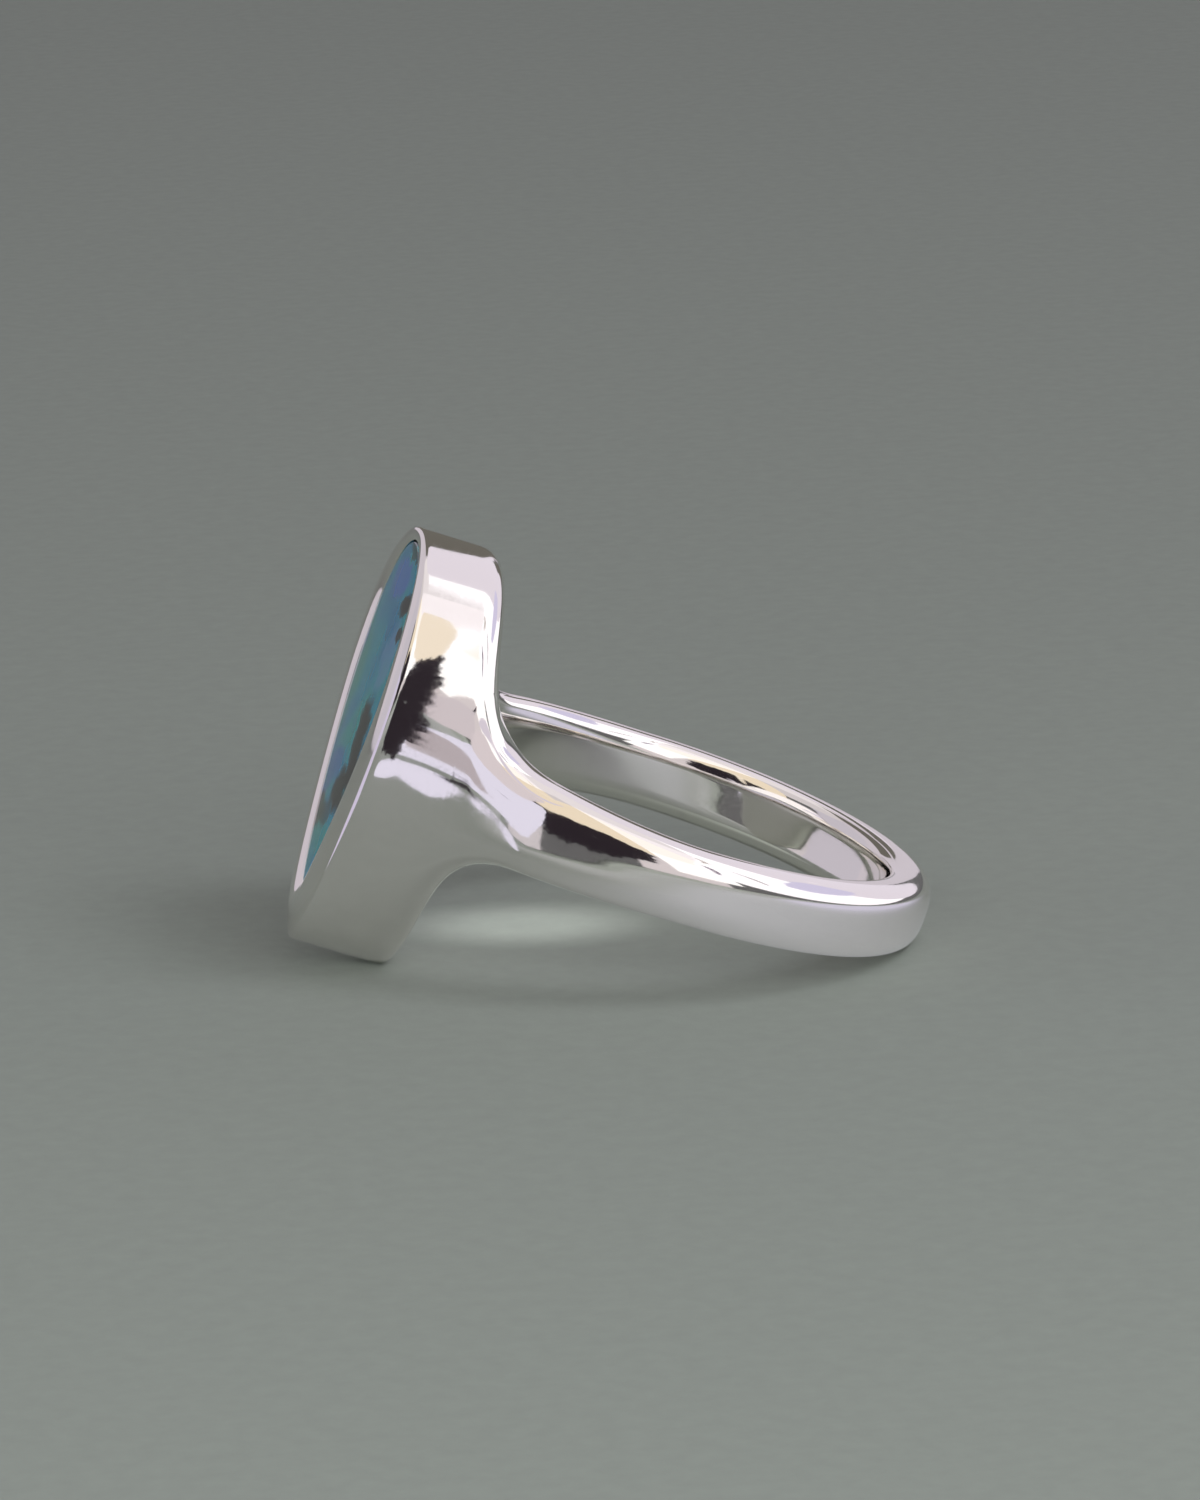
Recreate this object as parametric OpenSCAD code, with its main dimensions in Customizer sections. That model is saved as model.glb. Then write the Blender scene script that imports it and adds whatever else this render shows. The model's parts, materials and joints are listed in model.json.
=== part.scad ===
// Heavy cast silver ring with an egg-shaped opal set flush in a long, thick head.
// It lies on its side, on the lower end of the head and the back of the band.
// Ring frame: the finger axis is Z, the face looks along -X, and heights over the face
// are measured from the finger axis. The last step tilts the ring onto its surface.

/* [Band] */
// Inside diameter, where the finger goes
bore_d = 17.3; // [16:0.1:19]
// Thickness from the bore to the outer ridge
band_t = 1.95; // [1.7:0.05:2.2]
// Width along the finger at the back
band_w_back = 2.9; // [2.6:0.05:3.3]
// Width along the finger at the sides
band_w_side = 2.95; // [2.6:0.05:3.5]
// Width along the finger that the band grows to at the head
band_w_head = 4.4; // [3.6:0.1:4.8]
// Flat inner part of the band's thickness, before its outside rounds over
band_flat = 0.55; // [0.4:0.05:0.8]
// Squareness of the band's outside: 2 is an ellipse
band_square = 3; // [2:0.2:4]
// Softness of the edge between the bore and the sides of the band
bore_edge = 0.7; // [0.5:0.1:0.9]

/* [Head] */
// Height of the middle of the face over the finger axis
face_h = 13.1; // [12.7:0.05:13.6]
// Rise of the domed face over its own edge
face_rise = 0.28; // [0.1:0.02:0.4]
// Rise of the rounded rim, as a share of its width
rim_crown = 0.11; // [0.04:0.01:0.14]
// Length of the face along the finger
head_len = 16.8; // [16:0.1:17.4]
// Width of the face across the finger
head_w = 12; // [11.4:0.1:12.4]
// How much the outline is wider above its middle than below it
head_egg = 0.42; // [0.35:0.01:0.45]
// How much the outline narrows to a point at its lower end, or below 0 how blunt it is
head_point = -0.15; // [-0.25:0.05:0]
// Place of the outline's middle along the finger
head_shift = -0.05; // [-0.3:0.05:0.3]
// Height of the wall at the upper end
wall_upper = 3.35; // [3:0.05:3.7]
// Height of the wall at the lower end
wall_lower = 4.4; // [4.1:0.05:4.7]
// Slope of the underside in the upper half, in degrees
slope_upper = 4; // [2:0.5:8]
// Slope of the underside in the lower half, in degrees
slope_lower = -2.5; // [-5:0.5:2]
// Softness of the corner between the wall and the underside
wall_round = 0.85; // [0.6:0.05:1.2]
// Softness of the joint between head and band in the upper half
fillet_upper = 3; // [2.2:0.1:3.4]
// Softness of the joint between head and band in the lower half
fillet_lower = 2.3; // [1.6:0.1:2.8]

/* [Opal] */
// Length of the stone along the finger
stone_len = 14; // [13.2:0.1:14.2]
// Width of the stone across the finger
stone_w = 8.3; // [7.6:0.1:8.8]
// How much the stone is wider above its middle than below it
stone_egg = 0.43; // [0.35:0.01:0.46]
// How much the stone narrows to a point at its lower end
stone_point = 0.35; // [0.1:0.05:0.45]
// Place of the stone's middle along the finger
stone_shift = 0.8; // [0.5:0.05:0.85]
// Depth of the stone at its edge
stone_depth = 1.5; // [1:0.1:1.8]
// Gap between the stone and the silver
stone_gap = 0.05; // [0.03:0.01:0.08]

/* [Hidden] */

// Steps of the surface grids
STEPS_ROUND = 96;
STEPS_RIDGE = 96;
ROWS_RIM = 4;
ROWS_WALL = 7;
ROWS_SIDE = 9;
ROWS_STONE = 6;

BORE_R = bore_d / 2;
HEAD_HALF = head_len / 2;
EDGE_H = face_h - face_rise;
// Step of the wall's foot where it is farthest round the finger, and the columns part
WIDEST = 19;
// The ridge comes down to the middle of the band over this angle, its steps closer there
RIDGE_SETTLES = 14;
RIDGE_CLOSER = 0.08;
// Keeps an outline smooth at its very end
TAPER_SOFT = 0.02;
// The underside meets itself in a soft ridge of this half-length
RIDGE_SOFT = 0.5;
// The wall's grid ends this far over the underside, and no lower than WALL_FOOT
WALL_FOOT_GAP = 0.95;
WALL_FOOT = 8.4;
// Rays to the wall start at this share of the outline
RAY_START = 0.78;
// Rays to the sides start this far inside the outline
RAY_DEPTH = 1.1;
// Beyond the band, the hollow under the head is this much wider than the bore
RELIEF = 0.04;
RELIEF_FROM = 3.2;
RELIEF_GROWS = 0.4;
// The grid goes this far into the bore and closes on the axis, and the drill then clears it
INTO_BORE = 0.6;
AXIS_POINT = 0.3;
MARCH = 0.2;
HALVINGS = 11;
TINY = 0.000001;

function mixed(a, b, s) = a + (b - a) * s;
function clamped(v, low, high) = min(max(v, low), high);
// Smaller and larger of two distances, with a soft joint k wide
function soft_min(a, b, k) = min(a, b) - pow(max(k - abs(a - b), 0), 2) / (4 * k);
function soft_max(a, b, k) = max(a, b) + pow(max(k - abs(a - b), 0), 2) / (4 * k);
// 1 towards the upper end of the finger axis, 0 towards the lower
function upper_share(z) = 1 / (1 + exp(-z));

// Narrows the lower end of an outline: c is 1 at the upper end and -1 at the lower
function taper(c, point) =
    pow((max(1 - c * c, 0) + TAPER_SOFT) / (1 + TAPER_SOFT), point * (1 - clamped(c, -1, 1)) / 4);
// Egg outline as [y, z]: t is 0 at the upper end and 90 on the near side
function egg(len, w, bias, point, shift, t) =
    [-w / 2 * (1 + bias * cos(t)) * sin(t) * taper(cos(t), point), len / 2 * cos(t) + shift];
function head_outline(t) = egg(head_len, head_w, head_egg, head_point, head_shift, t);
function stone_outline(t, grow) =
    egg(stone_len + 2 * grow, stone_w + 2 * grow, stone_egg, stone_point, stone_shift, t);

// Half-width of the head's outline, stretched with the height along the finger
function egg_half_w(u) =
    head_w / 2 * (1 + head_egg * clamped(u / HEAD_HALF, -1.3, 1.3)) * taper(u / HEAD_HALF, head_point);
// How far out of the head's outline a point is, as a share of the outline
function egg_share(y, u) = norm([u / HEAD_HALF, y / egg_half_w(u)]);
// Distance out of the head's wall
function wall_distance(y, z) =
    let (
        u = z - head_shift,
        w = egg_half_w(u),
        share = egg_share(y, u)
    )
    share * (share - 1) / (norm([u / (HEAD_HALF * HEAD_HALF), y / (w * w)]) + TINY);

// Height of the head's underside over the finger axis
function underside(z) =
    let (
        s = upper_share(z),
        wall_h = mixed(wall_lower, wall_upper, s),
        slope = mixed(slope_lower, slope_upper, s),
        along = norm([z - head_shift, RIDGE_SOFT])
    )
    EDGE_H - wall_h - (HEAD_HALF - along) * tan(slope);

function head_distance(p) =
    let (slope = mixed(slope_lower, slope_upper, upper_share(p[2])))
    soft_max(wall_distance(p[1], p[2]), (underside(p[2]) + p[0]) * cos(slope), wall_round);

// Half-width of the band: c is the cosine of the angle from the head
function band_half_w(c) =
    (band_w_side + (band_w_head - band_w_side) * pow(max(c, 0), 1.5)
        + (band_w_back - band_w_side) * max(-c, 0)) / 2;

function band_distance(p) =
    let (
        r = norm([p[0], p[1]]),
        half_w = band_half_w(-p[0] / r),
        dome_t = band_t - band_flat,
        out = max(r - BORE_R - band_flat, 0) / dome_t,
        side = abs(p[2]) / half_w,
        share = pow(pow(out, band_square) + pow(side, band_square), 1 / band_square)
    )
    (share - 1) * min(dome_t, half_w);

// Distance out of the silver before its bore is drilled
function blank_distance(p) =
    soft_min(head_distance(p), band_distance(p),
        mixed(fillet_lower, fillet_upper, upper_share(p[2])));
// Distance into the bore, or into the slightly wider hollow beyond the band
function hollow_distance(p) =
    BORE_R + RELIEF * clamped((abs(p[2]) - RELIEF_FROM) / RELIEF_GROWS, 0, 1) - norm([p[0], p[1]]);
function silver_distance(p) = soft_max(blank_distance(p), hollow_distance(p), bore_edge);
// The same with a sharp edge, which shows where the bore's own wall ends
function wall_end_distance(p) = max(blank_distance(p), hollow_distance(p));

// Point where a ray from inside the silver first leaves it
function halved(from, dir, low, high, n, soft) =
    let (mid = (low + high) / 2, q = from + dir * mid)
    n == 0 ? q :
    (soft ? silver_distance(q) : wall_end_distance(q)) > 0
        ? halved(from, dir, low, mid, n - 1, soft)
        : halved(from, dir, mid, high, n - 1, soft);
function surface_point(from, dir, soft = true, at = MARCH) =
    let (q = from + dir * at)
    (soft ? silver_distance(q) : wall_end_distance(q)) > 0 || at > 9
        ? halved(from, dir, at - MARCH, at, HALVINGS, soft)
        : surface_point(from, dir, soft, at + MARCH);

// Height of the domed face over the finger axis
function face_height(y, z) = face_h - face_rise * pow(egg_share(y, z - head_shift), 2);

TURN = [for (i = [0 : STEPS_ROUND - 1]) 360 * i / STEPS_ROUND];

// Face rows: pocket floor, rounded rim from the pocket's edge to the head's edge
POCKET_FLOOR = EDGE_H - stone_depth - stone_gap;
pocket_low = [for (t = TURN) let (e = stone_outline(t, stone_gap)) [-POCKET_FLOOR, e[0], e[1]]];
function rim_row(s) = [for (t = TURN)
    let (
        from = stone_outline(t, stone_gap),
        to = head_outline(t),
        crown = rim_crown * norm(to - from) * 4 * s * (1 - s),
        h = mixed(face_height(from[0], from[1]), EDGE_H, s) + crown
    )
    [-h, mixed(from[0], to[0], s), mixed(from[1], to[1], s)]];
rim_rows = [for (k = [0 : ROWS_RIM]) rim_row(k / ROWS_RIM)];

// Wall rows: rays straight out of the head's axis, from the edge down to the wall's foot
function wall_foot(z) = soft_max(underside(z) + WALL_FOOT_GAP, WALL_FOOT, 0.8);
function wall_point(t, s) =
    let (
        e = head_outline(t),
        h = mixed(EDGE_H, wall_foot(e[1]), s)
    )
    surface_point([-h, RAY_START * e[0], RAY_START * e[1]], [0, e[0], e[1]] / norm(e));
wall_rows = [for (k = [1 : ROWS_WALL]) [for (t = TURN) wall_point(t, k / ROWS_WALL)]];
foot = wall_rows[ROWS_WALL - 1];

// Outer ridge of the band, from the far side of the head round the back to the near side
shoulder = foot[STEPS_ROUND - WIDEST];
ridge_start = atan2(shoulder[1], -shoulder[0]);
function radial(a) = [-cos(a), sin(a), 0];
ridge = [for (k = [1 : STEPS_RIDGE - 1])
    let (
        s = k / STEPS_RIDGE,
        a = mixed(ridge_start, 360 - ridge_start, s - RIDGE_CLOSER * sin(360 * s)),
        past = 180 - ridge_start - abs(180 - a),
        z = shoulder[2] * pow(max(1 - past / RIDGE_SETTLES, 0), 2)
    )
    surface_point(radial(a) * (BORE_R + band_t / 2) + [0, 0, z], radial(a))];

// Columns of the upper and lower sides: a part of the wall's foot, then the ridge
upper_head = [for (i = [0 : 2 * WIDEST]) (WIDEST - i + STEPS_ROUND) % STEPS_ROUND];
lower_head = [for (i = [WIDEST : STEPS_ROUND - WIDEST]) i];
function column_tops(head_ids) = concat([for (i = head_ids) foot[i]], ridge);

// One column goes from the outline o over the side to the bore, in the plane of the finger axis
function side_point(o, sign, s) =
    let (
        a = atan2(o[1], -o[0]),
        r = norm([o[0], o[1]]),
        z = sign * o[2],
        from_r = r - RAY_DEPTH + 1.5 * max(z, 0) / HEAD_HALF,
        from_z = 0.55 * z,
        mouth = surface_point(radial(a) * (BORE_R + 0.001), [0, 0, sign], false),
        edge_z = abs(mouth[2]) - bore_edge / 3,
        start = atan2(z - from_z, r - from_r),
        end = atan2(edge_z - from_z, BORE_R - from_r),
        turn = mixed(start, end < 0 ? end + 360 : end, s)
    )
    surface_point(radial(a) * from_r + [0, 0, sign * from_z],
        radial(a) * cos(turn) + [0, 0, sign * sin(turn)]);
function side_rows(tops, sign) =
    [for (k = [1 : ROWS_SIDE]) [for (o = tops) side_point(o, sign, k / ROWS_SIDE)]];
function row_in_bore(row, sign) =
    [for (q = row) let (a = atan2(q[1], -q[0])) radial(a) * (BORE_R - INTO_BORE) + [0, 0, q[2] - sign * INTO_BORE]];

upper_rows = side_rows(column_tops(upper_head), 1);
lower_rows = side_rows(column_tops(lower_head), -1);
upper_in = row_in_bore(upper_rows[ROWS_SIDE - 1], 1);
lower_in = row_in_bore(lower_rows[ROWS_SIDE - 1], -1);

function joined(rows) = [for (row = rows) each row];
blank_points = concat(
    [[-POCKET_FLOOR, 0, stone_shift]],
    pocket_low, joined(rim_rows), joined(wall_rows), ridge,
    joined(upper_rows), upper_in, joined(lower_rows), lower_in,
    [[0, 0, AXIS_POINT], [0, 0, -AXIS_POINT]]);

// Point numbers of each row
function ring_ids(first, n) = [for (i = [0 : n - 1]) first + i];
FACE_ROWS = 2 + ROWS_RIM + ROWS_WALL;
face_ids = [for (k = [0 : FACE_ROWS - 1]) ring_ids(1 + k * STEPS_ROUND, STEPS_ROUND)];
foot_ids = face_ids[FACE_ROWS - 1];
RIDGE_FIRST = 1 + FACE_ROWS * STEPS_ROUND;
ridge_ids = ring_ids(RIDGE_FIRST, STEPS_RIDGE - 1);
UPPER_FIRST = RIDGE_FIRST + len(ridge_ids);
UPPER_COLUMNS = len(upper_head) + len(ridge_ids);
LOWER_FIRST = UPPER_FIRST + (ROWS_SIDE + 1) * UPPER_COLUMNS;
LOWER_COLUMNS = len(lower_head) + len(ridge_ids);
AXIS_FIRST = LOWER_FIRST + (ROWS_SIDE + 1) * LOWER_COLUMNS;
function side_ids(head_ids, first, columns) = concat(
    [concat([for (i = head_ids) foot_ids[i]], ridge_ids)],
    [for (k = [0 : ROWS_SIDE]) ring_ids(first + k * columns, columns)]);
upper_ids = side_ids(upper_head, UPPER_FIRST, UPPER_COLUMNS);
lower_ids = side_ids(lower_head, LOWER_FIRST, LOWER_COLUMNS);

// Triangles between two closed rows of point numbers
function strip(a, b) =
    let (n = len(a))
    [for (i = [0 : n - 1]) let (j = (i + 1) % n) each [[a[i], a[j], b[i]], [a[j], b[j], b[i]]]];
function skin(rows) = [for (k = [0 : len(rows) - 2]) each strip(rows[k], rows[k + 1])];
function fan(centre, row) =
    let (n = len(row))
    [for (i = [0 : n - 1]) [centre, row[i], row[(i + 1) % n]]];
function turned(faces) = [for (f = faces) [f[0], f[2], f[1]]];

blank_faces = concat(
    fan(0, face_ids[0]), turned(skin(face_ids)), skin(upper_ids), turned(skin(lower_ids)),
    fan(AXIS_FIRST, upper_ids[ROWS_SIDE + 1]),
    turned(fan(AXIS_FIRST + 1, lower_ids[ROWS_SIDE + 1])));

// Stone rows from the middle of its top out to its edge, then its flat back
function stone_row(s) = [for (t = TURN)
    let (e = stone_outline(t, 0), y = e[0] * s, z = mixed(stone_shift, e[1], s))
    [-face_height(y, z), y, z]];
stone_rows = concat(
    [for (k = [1 : ROWS_STONE]) stone_row(k / ROWS_STONE)],
    [[for (t = TURN) let (e = stone_outline(t, 0)) [-(EDGE_H - stone_depth), e[0], e[1]]]]);
stone_points = concat(
    [[-face_height(0, stone_shift), 0, stone_shift]],
    joined(stone_rows),
    [[-(EDGE_H - stone_depth), 0, stone_shift]]);
stone_ids = [for (k = [0 : ROWS_STONE]) ring_ids(1 + k * STEPS_ROUND, STEPS_ROUND)];
stone_faces = concat(
    fan(0, stone_ids[0]), turned(skin(stone_ids)),
    turned(fan(len(stone_points) - 1, stone_ids[ROWS_STONE])));

// Resting tilt: the line that touches the head's lower end and the back of the band
function height_at(q, tilt) = q[2] * cos(tilt) - q[0] * sin(tilt);
function lowest(points, tilt) =
    let (heights = [for (q = points) height_at(q, tilt)], low = min(heights))
    points[search(low, heights)[0]];
head_part = [for (q = concat(joined(wall_rows), joined(lower_rows))) if (q[0] < 0) q];
back_part = [for (q = joined(lower_rows)) if (q[0] > 0) q];
function resting_tilt(tilt, n) =
    let (h = lowest(head_part, tilt), b = lowest(back_part, tilt))
    n == 0 ? tilt : resting_tilt(atan2(b[2] - h[2], b[0] - h[0]), n - 1);
TILT = resting_tilt(18, 6);
RISE = -height_at(lowest(back_part, TILT), TILT);
reach = [for (q = blank_points) q[0] * cos(TILT) + q[2] * sin(TILT)];
SLIDE = -(min(reach) + max(reach)) / 2;

echo(tilt = TILT, rise = RISE, slide = SLIDE);

module at_rest() {
    translate([SLIDE, 0, RISE]) rotate([0, TILT, 0]) children();
}

module silver_ring() {
    color("silver")
        at_rest()
            difference() {
                polyhedron(blank_points, blank_faces, convexity = 6);
                cylinder(h = 2 * head_len, r = BORE_R, center = true, $fn = 96);
            }
}

module opal() {
    color("steelblue")
        at_rest()
            polyhedron(stone_points, stone_faces, convexity = 2);
}

silver_ring();
opal();
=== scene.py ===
"""Looks of a heavy silver ring with an egg-shaped opal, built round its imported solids."""

import json
import math

import bpy
import numpy as np
from mathutils import Matrix, Vector


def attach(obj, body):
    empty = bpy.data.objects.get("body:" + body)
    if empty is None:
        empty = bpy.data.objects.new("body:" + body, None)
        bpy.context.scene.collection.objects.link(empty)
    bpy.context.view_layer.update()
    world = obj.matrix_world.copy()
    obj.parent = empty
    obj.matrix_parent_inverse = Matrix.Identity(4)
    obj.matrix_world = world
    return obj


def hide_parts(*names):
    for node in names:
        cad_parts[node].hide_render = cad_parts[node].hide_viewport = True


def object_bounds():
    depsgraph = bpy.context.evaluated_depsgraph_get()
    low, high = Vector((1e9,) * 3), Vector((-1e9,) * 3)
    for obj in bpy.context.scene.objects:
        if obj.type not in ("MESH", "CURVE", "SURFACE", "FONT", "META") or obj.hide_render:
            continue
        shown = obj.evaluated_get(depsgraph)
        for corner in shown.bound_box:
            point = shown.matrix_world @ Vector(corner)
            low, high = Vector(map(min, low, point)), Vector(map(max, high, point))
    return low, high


bl_info = {
    "name": "Opal ring",
    "version": (1, 0, 0),
    "blender": (4, 5, 0),
    "location": "View3D > Sidebar > Opal ring",
    "description": "Builds the silver ring, its opal and a small studio round the packed solids",
    "category": "Object",
}

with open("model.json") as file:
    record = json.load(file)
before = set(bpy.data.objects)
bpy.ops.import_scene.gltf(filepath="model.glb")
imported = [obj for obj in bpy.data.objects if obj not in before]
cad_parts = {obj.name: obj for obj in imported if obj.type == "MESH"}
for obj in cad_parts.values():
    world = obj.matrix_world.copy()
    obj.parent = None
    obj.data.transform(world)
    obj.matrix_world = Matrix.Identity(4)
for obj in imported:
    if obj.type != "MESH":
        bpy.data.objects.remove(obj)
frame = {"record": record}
CAD_BOX = [list(corner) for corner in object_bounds()]
BODY = "root"
MM = 0.001
TINY = 1e-9

# The ring's own frame has the finger axis along Z and the face towards -X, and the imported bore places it
BORE = next(mount for mount in frame["record"]["mounts"] if mount["name"] == "finger_hole")
RING_CENTRE = np.array(BORE["pos_m"], float)
TILT = math.atan2(BORE["axis"][0], BORE["axis"][2])

# Lengths below are in mm and angles in degrees. Those of the ring have the same values as its solids

# Band: half-widths at the back, side and head, the power of its swell to the head, the flat part of its
# depth, the squareness of its section outside that, and the soft edge of the finger hole
BAND_HALF_BACK = 1.45
BAND_HALF_SIDE = 1.475
BAND_HALF_HEAD = 2.2
BAND_SWELL = 1.5
BAND_FLAT = 0.55
BAND_SQUARE = 3.0
BORE_EDGE = 0.7

# Outlines of the head and the stone: how egg-shaped and how pointed they are and their shift along the
# finger, the softness of the taper, and how many half-lengths out the head's width is followed
HEAD_EGG = 0.42
HEAD_POINT = -0.15
HEAD_SHIFT = -0.05
STONE_EGG = 0.43
STONE_POINT = 0.35
STONE_SHIFT = 0.8
TAPER_SOFT = 0.02
OUTLINE_REACH = 1.3

# Head: height of its wall and slope of its underside at each end, how softly the two slopes meet, and how
# softly the underside joins the wall and the band
WALL_UPPER = 3.35
WALL_LOWER = 4.4
SLOPE_UPPER = 4.0
SLOPE_LOWER = -2.5
RIDGE_SOFT = 0.5
WALL_ROUND = 0.85
FILLET_UPPER = 3.0
FILLET_LOWER = 2.3

# Crown of the rim as a share of its width, depth of the stone, and the gap round and below it
RIM_CROWN = 0.11
STONE_DEPTH = 1.5
STONE_GAP = 0.05

# Beyond the band the hollow under the head is a little wider than the bore: by how much, from where and
# how soon
RELIEF = 0.04
RELIEF_FROM = 3.2
RELIEF_GROWS = 0.4

# Roundings that a polisher leaves
RIM_OUTER_ROUND = 0.14
RIM_INNER_ROUND = 0.05
STONE_ROUND = 0.1

# Foot of the wall's rows: its height over the underside, its least height over the finger axis, and how
# softly the two join
WALL_FOOT_GAP = 0.95
WALL_FOOT = 8.4
WALL_FOOT_SOFT = 0.8

# Rays: where they start, as a share of the outline or a depth in the metal, how the start moves out and
# along the finger towards the head's ends, and how far they reach
RAY_START = 0.78
RAY_DEPTH = 1.1
RAY_START_OUT = 1.5
RAY_START_ALONG = 0.55
MOUTH_DEPTH = 0.001
WALL_REACH = 6.0
MOUTH_REACH = 9.0
SIDE_REACH = 8.0

# Ridge of the band: the turn over which it settles to the middle, and how much closer its points stand at
# the head
RIDGE_SETTLES = 14
RIDGE_CLOSER = 0.08

# Turns between which the head is widest
WIDEST_TURNS = (60, 85)

# Steps of the grids, and of the search along a ray
TURN_STEPS = 96
RIDGE_STEPS = 384
RIM_STEPS = 10
CORNER_STEPS = 5
WALL_STEPS = 24
SIDE_STEPS = 38
BORE_STEPS = 8
STONE_STEPS = 28
CARD_STEPS = 12
BLOT_STEPS = 240
SCAN_STEPS = 501
MARCH_STEPS = 56
HALVINGS = 26

# Middle of the stone's pattern in the ring's frame, and the sizes of what lies in the stone
PATTERN_MIDDLE = (-13.0, 0.0, STONE_SHIFT)
SHEET_SIZE = 3.03
FLAKE_SIZE = 0.8
WANDER_SIZE = 0.909
WANDER_REACH = (0.0, 1.9, 1.1)

# Patches that run through the stone: middle and half-sizes across and along the finger, lean, colour and
# cover
PATCH_THROUGH = 1000.0
STONE_PATCHES = (
    ((0.4, 5.5), (2.1, 0.8), -8, "#4A6FC4", 0.8),
    ((0.8, -2.4), (1.7, 0.8), -16, "#3E62B4", 0.7),
    ((-2.9, 3.0), (1.1, 1.4), 0, "#7C93C8", 0.45),
    ((2.9, 0.4), (1.0, 2.4), 8, "#2B9A86", 0.6),
    ((-1.0, -4.9), (1.3, 0.8), 10, "#1F9A94", 0.6),
    ((1.5, -4.4), (1.5, 0.75), -14, "#3A3520", 0.9),
    ((-2.7, 5.1), (1.3, 0.42), -20, "#22151F", 1.0),
    ((-3.4, 4.0), (0.5, 0.28), -20, "#22151F", 0.95),
    ((-2.75, -0.2), (1.0, 1.5), 0, "#1A1216", 1.0),
    ((-3.1, -1.7), (0.75, 0.7), 0, "#1F131B", 1.0),
    ((-1.9, -2.7), (1.4, 0.8), -22, "#1B1214", 1.0),
    ((-0.5, -4.0), (1.2, 0.5), -15, "#2A2420", 0.75),
    ((-0.6, 6.7), (2.4, 0.2), 4, "#1C2230", 0.8),
)

# Painted streak of light on the paper, where the band throws light back: its middle, turn, half-sizes and
# how many times brighter it is
STREAK_MIDDLE = (-3.0, 4.0)
STREAK_TURN = -12
STREAK_SIZE = (6.5, 4.0)
STREAK_LIFT = 2.1

# Half a side of the paper in metres, and the faint even light of the room
PAPER_HALF = 3.0
ROOM_COLOUR = "#D9D8DC"
ROOM_STRENGTH = 0.2

# Lamps: name, azimuth, elevation, distance, width and height, power in watts and colour
LAMPS = (
    ("window_lamp", 52, 48, 1200, (450, 450), 4.1, "#F4F2FF"),
    ("front_lamp", 0, 24, 260, (400, 140), 0.5, "#FBFBFF"),
    ("fill_lamp", -95, 9, 400, (300, 60), 0.42, "#F2F4FF"),
)

# Screen that bends with the head's side: where it crosses a height, its slope there and its bend
BEND_AT = -8.375
BEND_FROM = 10.0
BEND_SLOPE = 0.422
BEND_CURVE = 0.037

# Sines that make a blot's edge ragged, each the waves in a turn, the height and the start in radians
RAGGED_WAVES = ((7, 1.0, 0), (17, 0.7, 1), (41, 0.5, 2))
BLOT_HUB = 0.02

# Camera fitted to the ring's outline: its turns, and how far its eye is moved to the left and up
CAMERA_AZIMUTH = -6.0984
CAMERA_ELEVATION = 14.0507
CAMERA_ROLL = -1.6791
CAMERA_LEFT = 2.6348
CAMERA_UP = 2.969
CAMERA_DISTANCE = 300.0
CAMERA_NEAR = 10.0
PIXELS_PER_MM = 25.7143
FRAME_HEIGHT_PX = 1500
SENSOR_MM = 36.0


def linear(code):
    """Linear colour with alpha 1 from an sRGB hex code."""
    value = np.array([int(code[i : i + 2], 16) for i in (1, 3, 5)]) / 255
    low = value / 12.92
    high = ((value + 0.055) / 1.055) ** 2.4
    return (*np.where(value <= 0.04045, low, high).tolist(), 1.0)


def mixed(a, b, share):
    """Value between a and b at a share of the way."""
    return a + (b - a) * share


def soft_min(a, b, width):
    """Smaller of two distances, less the square of the width less their gap, over four widths."""
    return np.minimum(a, b) - np.maximum(width - np.abs(a - b), 0) ** 2 / (4 * width)


def soft_max(a, b, width):
    """Larger of two distances, rounded where they differ by less than the width."""
    return -soft_min(-a, -b, width)


def upper_share(z):
    """One towards the upper end of the finger and nought towards the lower: a logistic step 1 mm soft."""
    return 1 / (1 + np.exp(-z))


def taper(c, point):
    """Narrowing of an outline: the softened sine squared, to a power that grows from nought at the top."""
    sine2 = np.maximum(1 - c * c, 0)
    power = point * (1 - np.clip(c, -1, 1)) / 4
    return ((sine2 + TAPER_SOFT) / (1 + TAPER_SOFT)) ** power


def egg(length, width, bias, point, shift, turn):
    """Egg outline: half-width times one plus the bias times the cosine, times the sine and the taper."""
    c = np.cos(turn)
    y = -width / 2 * (1 + bias * c) * np.sin(turn) * taper(c, point)
    return y, length / 2 * c + shift


def head_outline(sizes, turn):
    """Outline of the head's face."""
    return egg(sizes.head_length, sizes.head_width, HEAD_EGG, HEAD_POINT, HEAD_SHIFT, turn)


def stone_outline(sizes, turn, grow=0.0):
    """Outline of the stone, or of its pocket where it is grown."""
    length = sizes.stone_length + 2 * grow
    width = sizes.stone_width + 2 * grow
    return egg(length, width, STONE_EGG, STONE_POINT, STONE_SHIFT, turn)


def egg_half_width(sizes, u):
    """Half-width of the head's outline at a distance u along the finger from its middle."""
    c = u / (sizes.head_length / 2)
    bias = HEAD_EGG * np.clip(c, -OUTLINE_REACH, OUTLINE_REACH)
    return sizes.head_width / 2 * (1 + bias) * taper(c, HEAD_POINT)


def edge_height(sizes):
    """Height of the face's edge over the finger axis."""
    return sizes.face_height - sizes.face_rise


def face_height(sizes, y, z):
    """Height of the domed face over the finger axis: the middle less the rise times the share squared."""
    u = z - HEAD_SHIFT
    share = np.hypot(u / (sizes.head_length / 2), y / egg_half_width(sizes, u))
    return sizes.face_height - sizes.face_rise * share**2


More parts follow.
